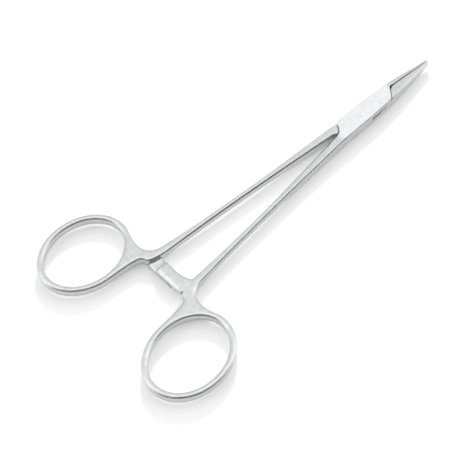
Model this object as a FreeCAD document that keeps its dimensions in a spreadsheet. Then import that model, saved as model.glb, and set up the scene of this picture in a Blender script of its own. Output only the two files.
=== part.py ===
import FreeCAD, Part
import math
import os
import re
import Sketcher

# Artery forceps with finger rings, a box lock and a ratchet: two crossing halves on one flush pin.
# X runs along the instrument to the jaw tip, Z is up, and the origin is on the pin's axis at the
# lower face of the box. The two halves mirror each other in plan. Each half is drawn in its own
# plan, where its ring lies on the side of positive Y times its side, and its jaw on the other.

doc = FreeCAD.newDocument("ArteryForceps")
sheet = doc.addObject("Spreadsheet::Sheet", "Sizes")

# Millimetres, and degrees where the name says so.
SIZES = {
    # The finger rings.
    "ring_setback": 102.1,
    "ring_offset": 23.9,
    "ring_hole_length": 27.3,
    "ring_hole_width": 21.2,
    "ring_rim": 2.0,
    "ring_tilt_degrees": 3.5,
    "ring_thickness": 3.2,
    # The shanks: distance behind the pin, height off the centreline and width of their curves' poles.
    "shank_root_back": 14.0,
    "shank_root_width": 3.1,
    "shank_fore_back": 36.0,
    "shank_fore_height": 3.8,
    "shank_fore_width": 1.8,
    "shank_aft_back": 61.0,
    "shank_aft_height": 5.8,
    "shank_aft_width": 1.0,
    "shank_neck_back": 83.0,
    "shank_neck_height": 7.5,
    "shank_neck_width": 2.6,
    "shank_thickness": 2.8,
    "edge_bevel": 0.42,
    # The neck between ring and shank, as places behind and off the shank's end there.
    "neck_outer_back": 5.5,
    "neck_outer_rise": 0.6,
    "neck_inner_back": 4.0,
    "neck_inner_rise": 0.2,
    "throat_back": 7.5,
    "throat_rise": 1.1,
    "throat_lean": 0.1,
    "throat_ring_pull": 2.0,
    "throat_neck_pull": 1.4,
    # The side profile: where it starts and stops to change its height.
    "ring_level_back": 4.0,
    "neck_slope_pull": 3.0,
    "neck_slope_run": 8.0,
    "root_slope_pull": 1.0,
    "root_slope_run": 12.0,
    "jaw_level_run": 1.0,
    "jaw_slope_pull": 5.0,
    "tip_slope_pull": 8.0,
    "tip_slope_rise": 0.5,
    # The box lock.
    "box_reach": 10.0,
    "box_half_width": 3.55,
    "box_thickness": 5.0,
    "step_drop": 0.35,
    "step_gap": 0.3,
    "rear_step_sag": 1.9,
    "rear_step_dip": 0.1,
    "rear_step_bow": 1.2,
    "rear_step_rise": 1.0,
    "front_step_bow": 2.0,
    "front_step_rise": 1.2,
    "front_step_lead": 0.5,
    "shoulder_reach": 2.5,
    "tongue_thickness": 2.0,
    "tongue_half_width": 1.86,
    "tongue_angle_degrees": 7.0,
    "lock_side_clearance": 0.06,
    "lock_face_clearance": 0.05,
    "opening_degrees": 38.0,
    "pin_diameter": 2.0,
    "pin_clearance": 0.03,
    # The jaws.
    "tip_reach": 32.6,
    "tip_width": 0.95,
    "tip_round": 1.0,
    "tip_round_pull": 0.4,
    "tip_round_drop": 0.06,
    "jaw_belly_back": 8.6,
    "jaw_belly_width": 1.6,
    "tip_thickness": 2.0,
    "jaw_start": 13.8,
    "seam_rear_height": 0.9,
    "seam_tip_height": 0.1,
    "serration_lead": 1.1,
    "serration_pitch": 1.0,
    "serration_depth": 0.3,
    "serration_count": 16,
    "jaw_clearance": 0.12,
    # The ratchet arms and their teeth.
    "ratchet_radius": 88.4,
    "ratchet_width": 4.5,
    "upper_arm_reach": 3.7,
    "lower_arm_reach": 3.0,
    "upper_arm_flare": 6.0,
    "lower_arm_flare": 2.8,
    "arm_slope_width": 1.3,
    "arm_slope_drop": 0.5,
    "ratchet_gap": 0.12,
    "arm_foot_overlap": 0.3,
    "arm_flare_pull": 0.2,
    "tooth_start": 0.5,
    "tooth_pitch": 1.3,
    "tooth_depth": 0.4,
    "tooth_count": 4,
}
for row, (size_name, size_value) in enumerate(SIZES.items(), start=1):
    sheet.set(f"A{row}", size_name)
    sheet.set(f"B{row}", str(size_value))
    sheet.setAlias(f"B{row}", size_name)
doc.recompute()


def bound(formula):
    """Return a formula of size names as an expression on the sheet's cells."""
    return re.sub(r"[a-z_]+", lambda word: f"Sizes.{word[0]}" if word[0] in SIZES else word[0], formula)


def value(formula):
    """Return what a formula comes to at the present sizes."""
    return float(sheet.evalExpression(bound(formula)))


def plane(body, role):
    """Return one of a body's own origin planes or axes."""
    return next(item for item in body.Origin.OriginFeatures if item.Role == role)


class Outline:
    """A closed sketch of straight lines and Bezier curves whose points follow the sheet."""

    def __init__(self, body, name, role="XY_Plane", shift=None, side=1):
        self.sketch = body.newObject("Sketcher::SketchObject", name)
        self.sketch.AttachmentSupport = [(plane(body, role), "")]
        self.sketch.MapMode = "FlatFace"
        if shift:
            self.sketch.setExpression("AttachmentOffset.Base.z", bound(shift))
        self.side = side
        self.edges = []
        self.rules = []
        self.start = None

    def place(self, point):
        """Return a point's two formulas and its present position, turned to this half's side."""
        across, up = point
        up = f"{self.side} * ({up})"
        return across, up, FreeCAD.Vector(value(across), value(up), 0)

    def fix(self, edge, corner, across, up):
        """Hold one point of an edge at the places that two formulas give."""
        for kind, formula in (("DistanceX", across), ("DistanceY", up)):
            self.rules.append((Sketcher.Constraint(kind, -1, 1, edge, corner, value(formula)), formula))

    def move(self, point):
        """Start a loop."""
        self.start = point
        self.here = point
        self.edges = []

    def join(self, edge, closing):
        """Tie an edge to the one before it and, for the last one, to the first."""
        if self.edges:
            self.rules.append((Sketcher.Constraint("Coincident", self.edges[-1], 2, edge, 1), None))
        else:
            across, up, _ = self.place(self.start)
            self.fix(edge, 1, across, up)
        self.edges.append(edge)
        if closing:
            self.rules.append((Sketcher.Constraint("Coincident", edge, 2, self.edges[0], 1), None))

    def line(self, point, closing=False):
        """Add a straight edge to a point."""
        _, _, begin = self.place(self.here)
        across, up, end = self.place(point)
        edge = self.sketch.addGeometry(Part.LineSegment(begin, end), False)
        self.join(edge, closing)
        if not closing:
            self.fix(edge, 2, across, up)
        self.here = point

    def curve(self, lead, follow, point, closing=False):
        """Add a cubic Bezier edge with two free poles and an end point."""
        poles = [self.place(each) for each in (self.here, lead, follow, point)]
        bezier = Part.BezierCurve()
        bezier.setPoles([pole[2] for pole in poles])
        edge = self.sketch.addGeometry(bezier.toBSpline(), False)
        first = self.sketch.GeometryCount
        self.sketch.exposeInternalGeometry(edge)
        self.join(edge, closing)
        for index in (1, 2):
            self.fix(first + index, 3, poles[index][0], poles[index][1])
        if not closing:
            self.fix(edge, 2, poles[3][0], poles[3][1])
        self.here = point

    def close(self):
        """Close the loop with a straight edge."""
        self.line(self.start, closing=True)

    def tied(self):
        """Give the sketch its rules, with each place bound to the sheet, and return it."""
        first = self.sketch.ConstraintCount
        self.sketch.addConstraint([rule for rule, _ in self.rules])
        for number, (_, formula) in enumerate(self.rules, start=first):
            if formula:
                self.sketch.setExpression(f"Constraints[{number}]", bound(formula))
        self.rules = []
        return self.sketch


def turned(along, across):
    """Return the formulas of a point given along and across a ring's tilted axes, from its centre."""
    lean = "ring_tilt_degrees * 1deg"
    return (f"-ring_setback + ({along}) * cos({lean}) + ({across}) * sin({lean})",
            f"ring_offset - ({along}) * sin({lean}) + ({across}) * cos({lean})")


def ring_point(length, width, angle, slide=0):
    """Return a point of a ring's ellipse at an angle, slid along its tangent as a Bezier pole is."""
    cosine = math.cos(math.radians(angle))
    sine = math.sin(math.radians(angle))
    along = f"({length}) * ({cosine - slide * sine:.6f})"
    across = f"({width}) * ({sine + slide * cosine:.6f})"
    return turned(along, across)


def ring_arc(outline, length, width, start, end, closing=False):
    """Follow a ring's ellipse from one angle to another, a right angle or less for each curve."""
    steps = math.ceil(abs(end - start) / 90)
    turn = (end - start) / steps
    pull = 4 / 3 * math.tan(math.radians(turn) / 4)
    for step in range(steps):
        first = start + step * turn
        last = first + turn
        outline.curve(ring_point(length, width, first, pull), ring_point(length, width, last, -pull),
                      ring_point(length, width, last), closing and step == steps - 1)


def shank_point(station, edge):
    """Return a pole of a shank's outer (edge 1) or inner (edge -1) curve."""
    return f"-shank_{station}_back", f"shank_{station}_height + {edge} * shank_{station}_width / 2"


RING_OUTER_LENGTH = "ring_hole_length / 2 + ring_rim"
RING_OUTER_WIDTH = "ring_hole_width / 2 + ring_rim"

# The angles at which the ring's rim leaves the neck and comes back to it, and how strongly the
# neck's curves follow the rim there.
RING_LEAVES = -15
RING_RETURNS = 270
RING_LEAVING_PULL = 0.5
RING_RETURNING_PULL = 0.55


def ring_outline_point(angle, slide=0):
    """Return a point of the ring's outer edge."""
    return ring_point(RING_OUTER_LENGTH, RING_OUTER_WIDTH, angle, slide)


def flank(along):
    """Return how far off the centreline the tongue's outer side lies, a distance behind the pin."""
    lean = "tongue_angle_degrees * 1deg"
    return f"(tongue_half_width / cos({lean}) + ({along}) * tan({lean}))"


# The shank's outer edge runs on from the tongue's side, and the box's front corners lie on it too.
ROOT_OUTER = ("-shank_root_back", flank("shank_root_back"))
ROOT_INNER = ("-shank_root_back", flank("shank_root_back") + " - shank_root_width")
FRONT_CORNER = ("box_reach", "-" + flank("box_reach"))

# The slanted edges of the box's plates, as curves from the crotch of the shanks to the flank and
# from the seam of the jaws to the other flank. Both come nearer to the pin towards the flank, so
# that the shoulders of the other half swing clear of them. X and Y are the whole tool's here.
REAR_STEP = [
    ("-shank_root_back", "shank_root_width - " + flank("shank_root_back")),
    ("-box_reach - rear_step_sag", "-rear_step_dip"),
    ("-box_reach - rear_step_bow", "rear_step_rise"),
    ("-box_reach", "box_half_width"),
]
FRONT_STEP = [
    ("box_reach", "-" + flank("box_reach")),
    ("box_reach + front_step_bow", "-front_step_rise"),
    ("jaw_start - front_step_lead", "seam_rear_height"),
    ("jaw_start", "seam_rear_height + (serration_depth + jaw_clearance) / 2"),
]


def shifted(points, along, across):
    """Return points moved by two formulas."""
    return [(f"{x} + ({along})", f"{y} + ({across})") for x, y in points]


def flipped(points):
    """Return points with their Y turned over, for the half whose ring is on that side."""
    return [(x, f"-({y})") for x, y in points]


def draw_handle(outline):
    """Draw a half's edge from the box round shank, neck and ring back to the crotch."""
    outline.curve(shank_point("fore", 1), shank_point("aft", 1), shank_point("neck", 1))
    outer = "shank_neck_height + shank_neck_width / 2"
    inner = "shank_neck_height - shank_neck_width / 2"
    throat = "-shank_neck_back - throat_back"
    throat_height = "shank_neck_height + throat_rise"
    outline.curve(("-shank_neck_back - neck_outer_back", f"{outer} + neck_outer_rise"),
                  ring_outline_point(RING_LEAVES, -RING_LEAVING_PULL),
                  ring_outline_point(RING_LEAVES))
    ring_arc(outline, RING_OUTER_LENGTH, RING_OUTER_WIDTH, RING_LEAVES, RING_RETURNS)
    outline.curve(ring_outline_point(RING_RETURNS, RING_RETURNING_PULL),
                  (f"{throat} - throat_lean", f"{throat_height} + throat_ring_pull"),
                  (throat, throat_height))
    outline.curve((f"{throat} + throat_lean", f"{throat_height} - throat_neck_pull"),
                  ("-shank_neck_back - neck_inner_back", f"{inner} + neck_inner_rise"),
                  shank_point("neck", -1))
    outline.curve(shank_point("aft", -1), shank_point("fore", -1), ROOT_INNER)


def draw_jaw(outline, side):
    """Draw a half's jaw from the box's front corner round the tip to the rear end of the seam."""
    outline.curve(("box_reach * 5 / 3", f"box_half_width - 2 * {flank('box_reach')}"),
                  ("tip_reach - jaw_belly_back", "-jaw_belly_width"),
                  ("tip_reach - tip_round", "-tip_width"))
    recess = "(serration_depth + jaw_clearance) / 2"
    outline.curve(("tip_reach - tip_round_pull", "-tip_width + tip_round_drop"),
                  ("tip_reach", "-tip_width * 0.7"),
                  ("tip_reach", f"{side} * seam_tip_height - {recess}"))
    start = "jaw_start" if side < 0 else "jaw_start + step_gap"
    outline.line((start, f"{side} * seam_rear_height - {recess}"))


def pad(body, name, sketch, length):
    """Pad a sketch by a formula's length, half to each side of its plane."""
    feature = body.newObject("PartDesign::Pad", name)
    feature.Profile = sketch
    feature.Midplane = True
    feature.setExpression("Length", bound(length))
    doc.recompute()
    return feature


# Millimetres of edge below which a cut counts as having missed the body.
NO_CHANGE = 1e-6


def edge_total(shape):
    """Return the length of all of a shape's edges, which changes with every cut."""
    return sum(edge.Length for edge in shape.Edges)


def pocket(body, name, sketch, length, through=False, reverse=False):
    """Cut a sketch by a formula's length to each side of its plane, or through all to one side."""
    feature = body.newObject("PartDesign::Pocket", name)
    feature.Profile = sketch
    if length:
        feature.Midplane = True
        feature.setExpression("Length", bound(length))
    else:
        feature.Type = "ThroughAll"
        feature.Midplane = through
        feature.Reversed = reverse
    doc.recompute()
    if abs(edge_total(feature.Shape) - edge_total(feature.BaseFeature.Shape)) < NO_CHANGE:
        raise RuntimeError(f"{body.Label}: {name} cuts nothing")
    return feature


def pattern(body, name, feature, axis, step, count):
    """Repeat a feature along a sketch's axis."""
    row = body.newObject("PartDesign::LinearPattern", name)
    row.Originals = [feature]
    row.Direction = axis
    row.setExpression("Occurrences", bound(count))
    row.setExpression("Length", bound(f"({step}) * ({count} - 1)"))
    body.Tip = row
    doc.recompute()
    return row


def new_body(name):
    """Make a body whose middle plane lies half the box's thickness above its lower face."""
    body = doc.addObject("PartDesign::Body", name)
    body.Label = name
    body.setExpression("Placement.Base.z", bound("box_thickness / 2"))
    return body


def add_serrations(body, side):
    """Raise the cross teeth of a jaw's face, which mesh with those of the other jaw."""
    tooth = Outline(body, "serration_shape", side=side)
    lean = "-atan((seam_rear_height - seam_tip_height) / (tip_reach - jaw_start))"
    tooth.sketch.AttachmentOffset = FreeCAD.Placement(
        FreeCAD.Vector(0, 0, 0), FreeCAD.Rotation(FreeCAD.Vector(0, 0, 1), value(lean)))
    tooth.sketch.setExpression("AttachmentOffset.Base.x", bound("jaw_start"))
    tooth.sketch.setExpression("AttachmentOffset.Base.y", bound("seam_rear_height"))
    tooth.sketch.setExpression("AttachmentOffset.Rotation.Angle", bound(lean))
    root = "(serration_depth + jaw_clearance) / -2 - lock_face_clearance"
    mesh = "1 / 2" if side > 0 else "0"
    first = f"(serration_lead + {mesh}) * serration_pitch"
    tooth.move((first, root))
    tooth.line((f"{first} + serration_pitch / 2", "(serration_depth - jaw_clearance) / 2"))
    tooth.line((f"{first} + serration_pitch", root))
    tooth.close()
    raised = pad(body, "serration", tooth.tied(), "box_thickness")
    along = (tooth.sketch, ["H_Axis"])
    pattern(body, "serrations", raised, along, "serration_pitch", "serration_count")


def cut_thickness(body, lock_half):
    """Thin a half from the box to its ring and to its jaw tip, above and below alike."""
    profile = Outline(body, "side_profile", role="XZ_Plane")
    end = "-ring_setback - ring_hole_length"
    far = "tip_reach + tip_thickness"
    for face in (1, -1):
        ring = f"{face} * ring_thickness / 2"
        shank = f"{face} * shank_thickness / 2"
        lock = f"{face} * ({lock_half})"
        tip = f"{face} * tip_thickness / 2"
        profile.move((end, ring))
        profile.line(("-shank_neck_back - ring_level_back", ring))
        profile.curve(("-shank_neck_back", ring), ("-shank_neck_back + neck_slope_pull", shank),
                      ("-shank_neck_back + neck_slope_run", shank))
        profile.curve(("-shank_root_back - root_slope_run", shank),
                      ("-shank_root_back - root_slope_pull", lock), ("-box_reach", lock))
        profile.line(("jaw_start - jaw_level_run", lock))
        profile.curve(("jaw_start + jaw_slope_pull", lock),
                      ("tip_reach - tip_slope_pull", f"{tip} + {face} * tip_slope_rise"), (far, tip))
        profile.line((far, f"{face} * box_thickness"))
        profile.line((end, f"{face} * box_thickness"))
        profile.close()
    return pocket(body, "thickness", profile.tied(), None, through=True)


# Millimetres: the run of an edge that stands upright, a length too short to bevel, and a small step.
UPRIGHT = 0.05
SHORT = 1.5
NEAR = 0.1


def is_outer(edge, level):
    """Tell whether a half's edge is worth a bevel, from where its middle lies."""
    middle = edge.valueAt((edge.FirstParameter + edge.LastParameter) / 2)
    height = abs(middle.z)
    if edge.BoundBox.XLength < UPRIGHT or height < value("tongue_thickness / 4"):
        return False
    if middle.x > value("tip_reach - tip_round"):
        return abs(middle.y) > value("tip_width * 0.6")
    if middle.x > value("jaw_start"):
        return edge.Length > value("tip_reach - jaw_start") / 2
    if middle.x > value("-shank_root_back"):
        clear_of_tongue = height > value("tongue_thickness / 2 + lock_face_clearance")
        return clear_of_tongue and abs(middle.y) > value("box_half_width * 0.85")
    if middle.z * level > 0 and abs(middle.y) < value("shank_neck_height") + NEAR:
        fore_of_arm = middle.x > value("-shank_neck_back") - SHORT
        return fore_of_arm or middle.x > value("tooth_start - ratchet_radius") and edge.Length > SHORT
    return True


def outer_edges(shape, level):
    """Name a half's long edges, without the lock's steps, the seam and the arm's rear and end."""
    numbered = enumerate(shape.Edges, start=1)
    return [f"Edge{number}" for number, edge in numbered if is_outer(edge, level)]


def bevel_edges(body, base, level):
    """Bevel the long edges of a half."""
    bevel = body.newObject("PartDesign::Chamfer", "edges")
    bevel.Base = (base, outer_edges(base.Shape, level))
    bevel.setExpression("Size", bound("edge_bevel"))
    doc.recompute()
    return bevel


def add_arm(body, side, level, reach, flare):
    """Add a ratchet arm above or below the middle, from a neck across the centreline."""
    arm = Outline(body, "arm_plan", shift=f"{level} * (box_thickness + ratchet_gap) / 4", side=side)
    rear = "(ratchet_radius + ratchet_width / 2)"
    front = "(ratchet_radius - ratchet_width / 2)"

    def across(radius, height):
        return f"-sqrt({radius} * {radius} - ({height}) * ({height}))", height

    root = "shank_neck_height"
    foot = "shank_neck_height - shank_neck_width / 2 + arm_foot_overlap"
    arm.move(across(rear, root))
    arm.line(across(rear, f"-({reach})"))
    arm.line(across(front, f"-({reach})"))
    arm.line(across(front, f"{foot} - {flare}"))
    bend = across(front, f"{foot} - {flare}")[0]
    arm.curve((f"{bend} + arm_flare_pull", f"{foot} - {flare} * 0.45"),
              (f"-{front} + {flare} * 0.15", foot), (f"-{front} + {flare} * 0.5", foot))
    arm.line((f"-{front} + {flare} * 0.5", root))
    arm.close()
    return pad(body, "arm", arm.tied(), "(box_thickness - ratchet_gap) / 2")


def slope_arm(body, side, level, reach):
    """Slope the rear part of an arm's outer face."""
    length = f"({reach} + shank_neck_height - shank_neck_width / 2)"
    slope = Outline(body, "arm_slope", role="XZ_Plane", shift=f"{side} * ({reach} - {length} / 2)")
    rear = "-(ratchet_radius + ratchet_width / 2)"
    face = "ring_thickness / 2"
    slope.move((rear, f"{level} * ({face} - arm_slope_drop)"))
    slope.line((f"{rear} + arm_slope_width", f"{level} * ({face})"))
    slope.line((f"{rear} + arm_slope_width", f"{level} * ring_thickness"))
    slope.line((f"{rear} - arm_slope_width", f"{level} * ring_thickness"))
    slope.line((f"{rear} - arm_slope_width", f"{level} * ({face} - arm_slope_drop)"))
    slope.close()
    return pocket(body, "rear_slope", slope.tied(), length)


def make_blank(name, side, level, reach, flare):
    """Make the outline, arm, serrations and thickness that a half has before its lock is cut."""
    body = new_body(name)
    plan = Outline(body, "plan", side=side)
    plan.move(ROOT_OUTER)
    draw_handle(plan)
    if side < 0:
        rear = flipped(REAR_STEP)
        plan.curve(*rear[1:])
        plan.curve(("-box_reach / 3", "-box_half_width"),
                   ("box_reach / 3", "-box_half_width"), FRONT_CORNER)
    else:
        plan.line(("-box_reach - shoulder_reach", "-" + flank("-box_reach - shoulder_reach")))
        plan.line(FRONT_CORNER)
    draw_jaw(plan, side)
    if side < 0:
        front = flipped(FRONT_STEP)
        plan.curve(front[2], front[1], front[0])
        plan.curve(("box_reach / 3", "box_half_width"),
                   ("-box_reach / 3", "box_half_width"), ROOT_OUTER, True)
    else:
        plan.line(("jaw_start + step_gap", flank("-jaw_start - step_gap")))
        plan.close()
    pad(body, "forging", plan.tied(), "box_thickness")
    add_arm(body, side, level, reach, flare)
    hole = Outline(body, "ring_hole_plan", side=side)
    hole.move(ring_point("ring_hole_length / 2", "ring_hole_width / 2", 0))
    ring_arc(hole, "ring_hole_length / 2", "ring_hole_width / 2", 0, 360, True)
    pocket(body, "ring_hole", hole.tied(), None, through=True)
    add_serrations(body, side)
    lock_half = "box_thickness / 2" if side < 0 else "box_thickness / 2 - step_drop"
    cut_thickness(body, lock_half)
    return body


def cut_tongue(body):
    """Thin the middle of the half that passes through the box, between its two shoulders."""
    cut = Outline(body, "tongue_cut", shift="tongue_thickness / 2")
    clear = "box_half_width * 2"
    rear = shifted(REAR_STEP, "-step_gap", "step_gap / 2")
    front = shifted(FRONT_STEP, "step_gap", "-step_gap / 2")
    cut.move((rear[0][0], f"-({clear})"))
    cut.line((front[0][0], f"-({clear})"))
    cut.line(front[0])
    cut.curve(*front[1:])
    cut.line((front[3][0], clear))
    cut.line((rear[3][0], clear))
    cut.line(rear[3])
    cut.curve(rear[2], rear[1], rear[0])
    cut.close()
    upper = pocket(body, "tongue_top", cut.tied(), None, reverse=True)
    lower = body.newObject("PartDesign::Mirrored", "tongue_bottom")
    lower.Originals = [upper]
    lower.MirrorPlane = (plane(body, "XY_Plane"), [""])
    body.Tip = lower
    doc.recompute()
    return lower


def cut_mortise(body):
    """Open the slot through the box that the tongue turns in, from shut to fully open."""
    cut = Outline(body, "mortise_plan")
    reach = "(tongue_half_width + lock_side_clearance)"
    run = "(2 * shank_root_back)"
    shut = "(tongue_angle_degrees * 1deg)"
    wide = "((tongue_angle_degrees + opening_degrees) * 1deg)"
    half = "((tongue_angle_degrees + opening_degrees / 2) * 1deg)"
    corner = f"{reach} / cos(opening_degrees / 2 * 1deg)"
    front = (f"{reach} * sin{shut} + {run} * cos{shut}", f"{reach} * cos{shut} - {run} * sin{shut}")
    middle = (f"{corner} * sin{half}", f"{corner} * cos{half}")
    rear = (f"{reach} * sin{wide} - {run} * cos{wide}", f"{reach} * cos{wide} + {run} * sin{wide}")
    points = [front, middle, rear]
    points += [(f"-({x})", f"-({y})") for x, y in points]
    cut.move(points[0])
    for point in points[1:]:
        cut.line(point)
    cut.close()
    return pocket(body, "mortise", cut.tied(), "tongue_thickness + 2 * lock_face_clearance")


def draw_circle(body, name, diameter):
    """Draw a circle on the pin's axis."""
    sketch = body.newObject("Sketcher::SketchObject", name)
    sketch.AttachmentSupport = [(plane(body, "XY_Plane"), "")]
    sketch.MapMode = "FlatFace"
    shape = Part.Circle(FreeCAD.Vector(0, 0, 0), FreeCAD.Vector(0, 0, 1), value(diameter) / 2)
    circle = sketch.addGeometry(shape, False)
    sketch.addConstraint(Sketcher.Constraint("Coincident", circle, 3, -1, 1))
    number = sketch.addConstraint(Sketcher.Constraint("Diameter", circle, value(diameter)))
    sketch.setExpression(f"Constraints[{number}]", bound(diameter))
    return sketch


def drill(body, name, bore):
    """Bore a half through on the pin's axis."""
    return pocket(body, name, draw_circle(body, f"{name}_plan", bore), None, through=True)


def cut_teeth(body, side, level, reach):
    """Notch the face of a ratchet arm that looks at the other arm, from its end towards its root."""
    notch = Outline(body, "tooth_plan", role="YZ_Plane", shift="-ratchet_radius")
    face = "ratchet_gap / 2"
    last = f"({reach}) - tooth_start"
    notch.move((f"{-side} * ({last})", f"{level} * ({face} - ratchet_gap)"))
    notch.line((f"{-side} * ({last})", f"{level} * ({face})"))
    notch.line((f"{-side} * ({last} - tooth_pitch * 0.25)", f"{level} * ({face} + tooth_depth)"))
    notch.line((f"{-side} * ({last} - tooth_pitch)", f"{level} * ({face})"))
    notch.line((f"{-side} * ({last} - tooth_pitch)", f"{level} * ({face} - ratchet_gap)"))
    notch.close()
    tooth = pocket(body, "tooth", notch.tied(), "ratchet_width * 3 / 2")
    row = pattern(body, "teeth", tooth, (plane(body, "Y_Axis"), [""]), "tooth_pitch", "tooth_count")
    row.Reversed = side < 0
    doc.recompute()


def make_pin():
    """Make the pin that fills the bore through the box, ground flush with both faces."""
    body = new_body("pivot_pin")
    sketch = draw_circle(body, "pin_plan", "pin_diameter")
    pad(body, "shaft", sketch, "box_thickness")
    return body


box_half = make_blank("box_half", -1, 1, "upper_arm_reach", "upper_arm_flare")
bevel_edges(box_half, box_half.Tip, 1)
slope_arm(box_half, -1, 1, "upper_arm_reach")
cut_teeth(box_half, -1, 1, "upper_arm_reach")
cut_mortise(box_half)
drill(box_half, "pin_hole", "pin_diameter")

tongue_half = make_blank("tongue_half", 1, -1, "lower_arm_reach", "lower_arm_flare")
cut_tongue(tongue_half)
bevel_edges(tongue_half, tongue_half.Tip, -1)
slope_arm(tongue_half, 1, -1, "lower_arm_reach")
cut_teeth(tongue_half, 1, -1, "lower_arm_reach")
drill(tongue_half, "pin_hole", "pin_diameter + 2 * pin_clearance")

pivot_pin = make_pin()

doc.recompute()
for item in doc.Objects:
    if "Invalid" in item.State or "Error" in item.State:
        raise RuntimeError(f"{item.Name} could not be made")
os.makedirs("parts", exist_ok=True)
for part in (box_half, tongue_half, pivot_pin):
    if part.Shape.isNull() or not part.Shape.isValid():
        raise RuntimeError(f"{part.Label} has no valid shape")
    part.Shape.exportStep(f"parts/{part.Label}.step")
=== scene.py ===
import math

import bpy
from mathutils import Matrix, Vector


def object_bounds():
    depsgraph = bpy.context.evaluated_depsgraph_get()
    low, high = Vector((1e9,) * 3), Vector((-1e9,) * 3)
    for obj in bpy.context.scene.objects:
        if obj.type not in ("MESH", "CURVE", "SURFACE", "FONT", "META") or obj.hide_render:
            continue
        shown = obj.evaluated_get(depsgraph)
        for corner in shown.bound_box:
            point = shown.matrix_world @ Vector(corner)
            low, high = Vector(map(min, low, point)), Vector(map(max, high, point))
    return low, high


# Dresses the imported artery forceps: satin steel on its two halves and on the pin, and a white
# studio table under it. Lengths are metres, X runs to the jaw tip, Z is up and the pin stands
# at the origin.

bl_info = {
    "name": "Artery Forceps Dressing",
    "version": (1, 0, 0),
    "blender": (4, 5, 0),
    "location": "3D View > Sidebar > Forceps",
    "description": "Finishes the steel of an artery forceps and sets it on a white table",
    "category": "Object",
}

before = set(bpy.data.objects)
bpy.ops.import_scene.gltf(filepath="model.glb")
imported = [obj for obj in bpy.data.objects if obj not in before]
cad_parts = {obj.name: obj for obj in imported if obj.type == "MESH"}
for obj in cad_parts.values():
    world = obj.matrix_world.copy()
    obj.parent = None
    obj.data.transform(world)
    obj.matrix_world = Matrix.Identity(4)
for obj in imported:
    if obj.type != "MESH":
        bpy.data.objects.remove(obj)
CAD_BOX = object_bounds()

BOX_MIDDLE = (CAD_BOX[0][2] + CAD_BOX[1][2]) / 2

# Each noise's scale, detail and roughness. The grain is already scaled by its length and width.
GRAIN_NOISE = (1.0, 3.0, 0.6)
CLOUD_NOISE = (420.0, 4.0, 0.55)
SPECKLE_NOISE = (5200.0, 2.0, 0.5)
MOTTLE_NOISE = (1100.0, 3.0, 0.7)
# The part of a noise's range that holds nearly all of its values.
NOISE_RANGE = (0.3, 0.7)

# How far each noise swings the steel's roughness, and how pale it is, to either side.
GRAIN_GLOSS = 0.06
CLOUD_GLOSS = 0.05
GRAIN_SHADE = 0.03
CLOUD_SHADE = 0.05
MOTTLE_SHADE = 0.11

# Share of the mottling and of the speckled relief on plain steel, and on the box's faces.
MOTTLE_SHARES = (0.4, 1.0)
SPECKLE_SHARES = (0.5, 2.0)
RELIEF_STRENGTH = 0.5
BRUSHED_ANISOTROPY = 0.35
BEVEL_SAMPLES = 8

# The stretches over which one finish passes into the next: the box's faces fade at their ends
# (from the pin) and at their bevels (down from the face), the rings' rounder edges end at their
# necks, and edges near the pin stay sharp, with only a share of their softness.
FACE_END = (0.0125, 0.0145)
FACE_BEVEL = (0.0004, 0.0001)
RING_NECK = (-0.086, -0.076)
PIN_RIM = (0.0022, 0.003)
PIN_SOFTNESS = 0.06

TABLE_RADIUS = 3.0
TABLE_CORNERS = 96
TABLE_GAP = 0.0001
WHITE = (1.0, 1.0, 1.0, 1.0)

# The studio's light on a half turn from low behind the instrument (0), over its top, to low on
# the camera's side (1): place on the half turn, and share of the bright light.
CAMERA_SIDE = (-0.5, -0.866, 0)
STUDIO_TONES = ((0.24, 0.66), (0.42, 1.0), (0.54, 1.0), (0.63, 0.5), (0.74, 0.06))

# The lamp stands behind the instrument, and looks at its middle.
INSTRUMENT_MIDDLE = (-0.04, 0, 0)
KEY_SIDE = (0.694, 0.72)
KEY_DISTANCE = 0.75
KEY_SIZE = 0.1


class SteelSettings(bpy.types.PropertyGroup):
    """Finish of the steel."""

    colour: bpy.props.FloatVectorProperty(
        name="Steel colour", description="Colour of the bare stainless steel",
        subtype="COLOR", size=3, min=0.0, max=1.0, default=(0.66, 0.665, 0.67))
    roughness: bpy.props.FloatProperty(
        name="Satin roughness", description="Roughness of the satin finish off the box's faces",
        min=0.0, max=1.0, default=0.2)
    box_roughness: bpy.props.FloatProperty(
        name="Box roughness", description="Roughness of the finely blasted faces of the box",
        min=0.0, max=1.0, default=0.5)
    box_paleness: bpy.props.FloatProperty(
        name="Box paleness", description="How much paler the blasted faces of the box are",
        min=0.0, max=1.0, default=0.28)
    grain_length: bpy.props.FloatProperty(
        name="Grain length", description="Length of the fine brushing lines along the instrument",
        subtype="DISTANCE", unit="LENGTH", default=0.004)
    grain_width: bpy.props.FloatProperty(
        name="Grain width", description="Width of the fine brushing lines",
        subtype="DISTANCE", unit="LENGTH", default=0.00018)
    grain_depth: bpy.props.FloatProperty(
        name="Grain depth", description="Depth of the brushing lines",
        subtype="DISTANCE", unit="LENGTH", default=0.000004)
    edge_softness: bpy.props.FloatProperty(
        name="Edge softness", description="Radius to which box, jaws and shanks are polished",
        subtype="DISTANCE", unit="LENGTH", default=0.0005)
    ring_softness: bpy.props.FloatProperty(
        name="Ring softness", description="Radius to which the rings and their necks are polished",
        subtype="DISTANCE", unit="LENGTH", default=0.0015)


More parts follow.
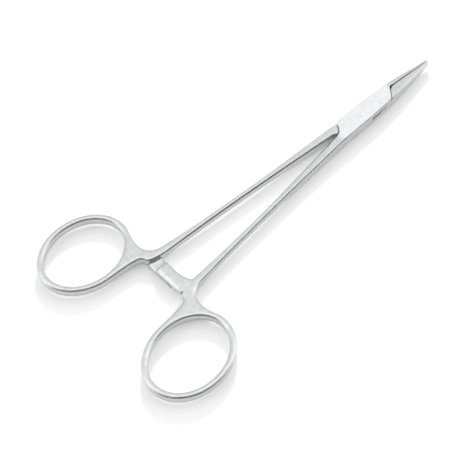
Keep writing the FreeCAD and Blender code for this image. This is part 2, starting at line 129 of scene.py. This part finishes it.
class StageSettings(bpy.types.PropertyGroup):
    """Table, lamp, studio light and camera."""

    table_colour: bpy.props.FloatVectorProperty(
        name="Table colour", description="Colour of the white table",
        subtype="COLOR", size=3, min=0.0, max=1.0, default=(0.86, 0.86, 0.86))
    table_glow: bpy.props.FloatProperty(
        name="Table glow", description="Light added where the camera or a gloss sees the table",
        min=0.0, max=1.0, default=0.24)
    key_power: bpy.props.FloatProperty(
        name="Key power", description="Power of the lamp behind the instrument",
        unit="POWER", default=3.0)
    key_height: bpy.props.FloatProperty(
        name="Key height", description="Angle of the lamp above the table",
        subtype="ANGLE", unit="ROTATION", default=math.radians(32))
    bright_light: bpy.props.FloatProperty(
        name="Bright light", description="Strength of the studio's light above the instrument",
        min=0.0, default=1.5)
    horizon_light: bpy.props.FloatProperty(
        name="Horizon", description="Share of that light behind the instrument, low down",
        min=0.0, max=1.0, default=0.56)
    dark_light: bpy.props.FloatProperty(
        name="Dark side", description="Share of that light on the camera's side, low down",
        min=0.0, max=1.0, default=0.035)
    focal_length: bpy.props.FloatProperty(
        name="Focal length", description="Focal length of the camera on its 36 mm wide sensor",
        subtype="DISTANCE_CAMERA", default=86.49)


def settings():
    """Return the steel and the stage settings of the scene."""
    return bpy.context.scene.forceps_steel, bpy.context.scene.forceps_stage


class NodeTree:
    """Short calls for building a node tree."""

    def __init__(self, tree):
        self.tree = tree
        self.tree.nodes.clear()

    def add(self, kind, inputs=None, **values):
        """Add a node, set its values, and fill its inputs with numbers or links."""
        node = self.tree.nodes.new(kind)
        for name, value in values.items():
            setattr(node, name, value)
        for name, value in (inputs or {}).items():
            if isinstance(value, bpy.types.NodeSocket):
                self.tree.links.new(value, node.inputs[name])
            else:
                node.inputs[name].default_value = value
        return node

    def maths(self, operation, *inputs):
        """Add a Math node and return its result."""
        node = self.add("ShaderNodeMath", dict(enumerate(inputs)), operation=operation)
        return node.outputs[0]

    def total(self, first, *others):
        """Add numbers or links up, from left to right."""
        for other in others:
            first = self.maths("ADD", first, other)
        return first

    def ramp(self, factor, low, high, low_value, high_value):
        """Map a range of a factor onto another range."""
        node = self.add("ShaderNodeMapRange", {
            "Value": factor, "From Min": low, "From Max": high,
            "To Min": low_value, "To Max": high_value})
        return node.outputs["Result"]

    def blend(self, factor, none, full):
        """Return one value where a factor is 0 and the other where it is 1."""
        return self.ramp(factor, 0.0, 1.0, none, full)

    def noise(self, place, scale, detail, roughness):
        """Add a noise and return its value."""
        node = self.add("ShaderNodeTexNoise", {
            "Vector": place, "Scale": scale, "Detail": detail, "Roughness": roughness})
        return node.outputs["Fac"]

    def swing(self, noise, reach):
        """Spread a noise over a reach to either side of nothing."""
        return self.ramp(noise, *NOISE_RANGE, -reach, reach)


def box_face(tree, along, height):
    """Return 1 on the box's two flat faces: between their ends, and near the greatest height."""
    off_pin = tree.maths("ABSOLUTE", along)
    lift = tree.maths("ABSOLUTE", tree.maths("SUBTRACT", height, BOX_MIDDLE))
    low, high = (BOX_MIDDLE - depth for depth in FACE_BEVEL)
    return tree.maths("MULTIPLY", tree.ramp(off_pin, *FACE_END, 1.0, 0.0),
                      tree.ramp(lift, low, high, 0.0, 1.0))


def edge_radius(tree, along, across):
    """Return the radius of the polished edges: wide on the rings, and next to none at the pin."""
    steel, _ = settings()
    radius = tree.ramp(along, *RING_NECK, steel.ring_softness, steel.edge_softness)
    # The pin is ground flush, so its rim and the hole's rim stay sharp.
    from_pin = tree.maths("SQRT", tree.total(tree.maths("MULTIPLY", along, along),
                                             tree.maths("MULTIPLY", across, across)))
    return tree.maths("MULTIPLY", radius, tree.ramp(from_pin, *PIN_RIM, PIN_SOFTNESS, 1.0))


def steel_material(name):
    """Make satin steel: fine lines along it, rounder rings and blasted, paler box faces."""
    steel, _ = settings()
    material = bpy.data.materials.new(name)
    material.use_nodes = True
    tree = NodeTree(material.node_tree)
    place = tree.add("ShaderNodeTexCoord").outputs["Object"]
    along, across, height = tree.add("ShaderNodeSeparateXYZ", {0: place}).outputs
    lines = tree.add("ShaderNodeMapping", {
        "Vector": place,
        "Scale": (1 / steel.grain_length, 1 / steel.grain_width, 1 / steel.grain_width)})
    grain = tree.noise(lines.outputs[0], *GRAIN_NOISE)
    cloud = tree.noise(place, *CLOUD_NOISE)
    speckle = tree.noise(place, *SPECKLE_NOISE)
    mottle = tree.noise(place, *MOTTLE_NOISE)
    face = box_face(tree, along, height)

    gloss = tree.total(tree.swing(grain, GRAIN_GLOSS), tree.swing(cloud, CLOUD_GLOSS),
                       tree.blend(face, steel.roughness, steel.box_roughness))
    relief = tree.total(grain, tree.maths("MULTIPLY", speckle, tree.blend(face, *SPECKLE_SHARES)))
    rounded = tree.add("ShaderNodeBevel", {"Radius": edge_radius(tree, along, across)},
                       samples=BEVEL_SAMPLES)
    bump = tree.add("ShaderNodeBump", {
        "Height": relief, "Strength": RELIEF_STRENGTH, "Distance": steel.grain_depth,
        "Normal": rounded.outputs["Normal"]})

    blotch = tree.maths("MULTIPLY", tree.swing(mottle, MOTTLE_SHADE),
                        tree.blend(face, *MOTTLE_SHARES))
    shade = tree.total(tree.swing(cloud, CLOUD_SHADE), tree.swing(grain, GRAIN_SHADE),
                       blotch, tree.blend(face, 0.0, steel.box_paleness))
    tone = tree.add("ShaderNodeVectorMath", {
        0: steel.colour, "Scale": tree.total(1.0, shade)}, operation="SCALE")
    shader = tree.add("ShaderNodeBsdfPrincipled", {
        "Base Color": tone.outputs[0], "Metallic": 1.0, "Roughness": gloss,
        "Normal": bump.outputs["Normal"], "Anisotropic": BRUSHED_ANISOTROPY})
    tree.add("ShaderNodeOutputMaterial", {"Surface": shader.outputs["BSDF"]})
    return material


def finish_node(name, material):
    """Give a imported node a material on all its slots."""
    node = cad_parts[name]
    if not node.material_slots:
        node.data.materials.append(material)
    for slot in node.material_slots:
        slot.link = "OBJECT"
        slot.material = material


class FORCEPS_OT_box_half(bpy.types.Operator):
    """Finish the half that holds the box and the upper ratchet arm"""

    bl_idname = "forceps.box_half"
    bl_label = "Box half"

    def execute(self, context):
        finish_node("box_half", steel_material("satin_steel_box_half"))
        return {"FINISHED"}


class FORCEPS_OT_tongue_half(bpy.types.Operator):
    """Finish the half whose tongue passes through the box"""

    bl_idname = "forceps.tongue_half"
    bl_label = "Tongue half"

    def execute(self, context):
        finish_node("tongue_half", steel_material("satin_steel_tongue_half"))
        return {"FINISHED"}


class FORCEPS_OT_pivot_pin(bpy.types.Operator):
    """Finish the pin ground flush with the box"""

    bl_idname = "forceps.pivot_pin"
    bl_label = "Pivot pin"

    def execute(self, context):
        finish_node("pivot_pin", steel_material("satin_steel_pin"))
        return {"FINISHED"}


def table_material(colour, glow):
    """Make white paint that glows where it is looked at, but lights nothing, so shadows stay."""
    material = bpy.data.materials.new("white_table")
    material.use_nodes = True
    tree = NodeTree(material.node_tree)
    paths = tree.add("ShaderNodeLightPath").outputs
    seen = tree.maths("MAXIMUM", paths["Is Camera Ray"], paths["Is Glossy Ray"])
    seen = tree.maths("MAXIMUM", seen, paths["Is Transmission Ray"])
    light = tree.add("ShaderNodeEmission", {
        "Color": WHITE, "Strength": tree.maths("MULTIPLY", seen, glow)})
    paint = tree.add("ShaderNodeBsdfDiffuse", {"Color": (*colour, 1.0)})
    both = tree.add("ShaderNodeAddShader", {0: paint.outputs[0], 1: light.outputs[0]})
    tree.add("ShaderNodeOutputMaterial", {"Surface": both.outputs[0]})
    return material


def studio_world(bright, horizon, dark):
    """Make the studio: plain white to the camera, and a curve of tones to all it lights."""
    world = bpy.data.worlds.new("studio")
    world.use_nodes = True
    tree = NodeTree(world.node_tree)
    paths = tree.add("ShaderNodeLightPath").outputs
    looking = tree.add("ShaderNodeTexCoord").outputs["Generated"]
    nearness = tree.add("ShaderNodeVectorMath", {0: looking, 1: CAMERA_SIDE},
                        operation="DOT_PRODUCT")
    curve = tree.add("ShaderNodeValToRGB", {
        "Fac": tree.ramp(nearness.outputs["Value"], -1.0, 1.0, 0.0, 1.0)})
    tones = curve.color_ramp.elements
    tones.remove(tones[1])
    tones[0].color = (horizon, horizon, horizon, 1.0)
    for place, tone in (*STUDIO_TONES, (1.0, dark)):
        tones.new(place).color = (tone, tone, tone, 1.0)
    dome = tree.maths("MULTIPLY", curve.outputs["Color"], bright)
    unseen = tree.maths("SUBTRACT", 1.0, paths["Is Camera Ray"])
    strength = tree.total(tree.maths("MULTIPLY", dome, unseen), paths["Is Camera Ray"])
    light = tree.add("ShaderNodeBackground", {"Color": WHITE, "Strength": strength})
    tree.add("ShaderNodeOutputWorld", {"Surface": light.outputs[0]})
    return world


def add_key_lamp(power, height):
    """Add the lamp that casts the shadow, and keep it out of the steel's gloss."""
    middle = Vector(INSTRUMENT_MIDDLE)
    level = math.cos(height)
    away = Vector((KEY_SIDE[0] * level, KEY_SIDE[1] * level, math.sin(height)))
    data = bpy.data.lights.new("key_lamp", "AREA")
    data.shape = "SQUARE"
    data.size = KEY_SIZE
    data.energy = power
    lamp = bpy.data.objects.new("key_lamp", data)
    bpy.context.scene.collection.objects.link(lamp)
    lamp.location = middle + KEY_DISTANCE * away
    lamp.rotation_euler = (middle - lamp.location).to_track_quat("-Z", "Y").to_euler()
    lamp.visible_glossy = False


def place_camera(focal_length):
    """Stand the camera where the photograph was taken from, as fitted to its outlines."""
    turn = math.radians(43.914)
    tilt = math.radians(59.073)
    roll = math.radians(-0.188)
    distance = 0.3519
    shift_right = 0.043975
    shift_up = 0.045977
    raised = 0.0025
    right = Vector((math.cos(turn), -math.sin(turn), 0))
    level = Vector((math.sin(turn), math.cos(turn), 0))
    upright = Vector((0, 0, 1))
    up = level * math.sin(tilt) + upright * math.cos(tilt)
    ahead = level * math.cos(tilt) - upright * math.sin(tilt)
    data = bpy.data.cameras.new("camera")
    data.lens = focal_length
    data.sensor_width = 36.0
    data.clip_start = 0.01
    data.clip_end = 20.0
    camera = bpy.data.objects.new("camera", data)
    bpy.context.scene.collection.objects.link(camera)
    back = distance + shift_up * math.cos(tilt)
    down = shift_up * math.sin(tilt)
    place = raised * upright - shift_right * right - back * ahead - down * up
    turned = Matrix((right, up, -ahead)).transposed().to_4x4()
    camera.matrix_world = Matrix.Translation(place) @ turned @ Matrix.Rotation(roll, 4, "Z")
    bpy.context.scene.camera = camera


class FORCEPS_OT_stage(bpy.types.Operator):
    """Set the white table, the studio light, the lamp and the camera"""

    bl_idname = "forceps.stage"
    bl_label = "Table, lamp and camera"

    def execute(self, context):
        _, stage = settings()
        bpy.ops.mesh.primitive_circle_add(
            vertices=TABLE_CORNERS, radius=TABLE_RADIUS, fill_type="NGON")
        table = context.object
        table.name = "table"
        table.location.z = CAD_BOX[0][2] - TABLE_GAP
        table.data.materials.append(table_material(stage.table_colour, stage.table_glow))

        context.scene.world = studio_world(
            stage.bright_light, stage.horizon_light, stage.dark_light)
        add_key_lamp(stage.key_power, stage.key_height)
        place_camera(stage.focal_length)
        context.scene.view_settings.view_transform = "Standard"
        return {"FINISHED"}


OPERATORS = (
    FORCEPS_OT_box_half,
    FORCEPS_OT_tongue_half,
    FORCEPS_OT_pivot_pin,
    FORCEPS_OT_stage,
)


class FORCEPS_PT_dressing(bpy.types.Panel):
    """List the sizes, the colours and the steps of the dressing."""

    bl_idname = "FORCEPS_PT_dressing"
    bl_label = "Artery forceps"
    bl_space_type = "VIEW_3D"
    bl_region_type = "UI"
    bl_category = "Forceps"

    def draw(self, context):
        for group in settings():
            for name in group.__annotations__:
                self.layout.prop(group, name)
        for operator in OPERATORS:
            self.layout.operator(operator.bl_idname)


CLASSES = (SteelSettings, StageSettings, *OPERATORS, FORCEPS_PT_dressing)


def register():
    for each in CLASSES:
        bpy.utils.register_class(each)
    bpy.types.Scene.forceps_steel = bpy.props.PointerProperty(type=SteelSettings)
    bpy.types.Scene.forceps_stage = bpy.props.PointerProperty(type=StageSettings)


def unregister():
    del bpy.types.Scene.forceps_stage
    del bpy.types.Scene.forceps_steel
    for each in reversed(CLASSES):
        bpy.utils.unregister_class(each)


def main():
    """Dress each piece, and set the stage."""
    register()
    bpy.ops.forceps.box_half()
    bpy.ops.forceps.tongue_half()
    bpy.ops.forceps.pivot_pin()
    bpy.ops.forceps.stage()


if __name__ == "__main__":
    main()
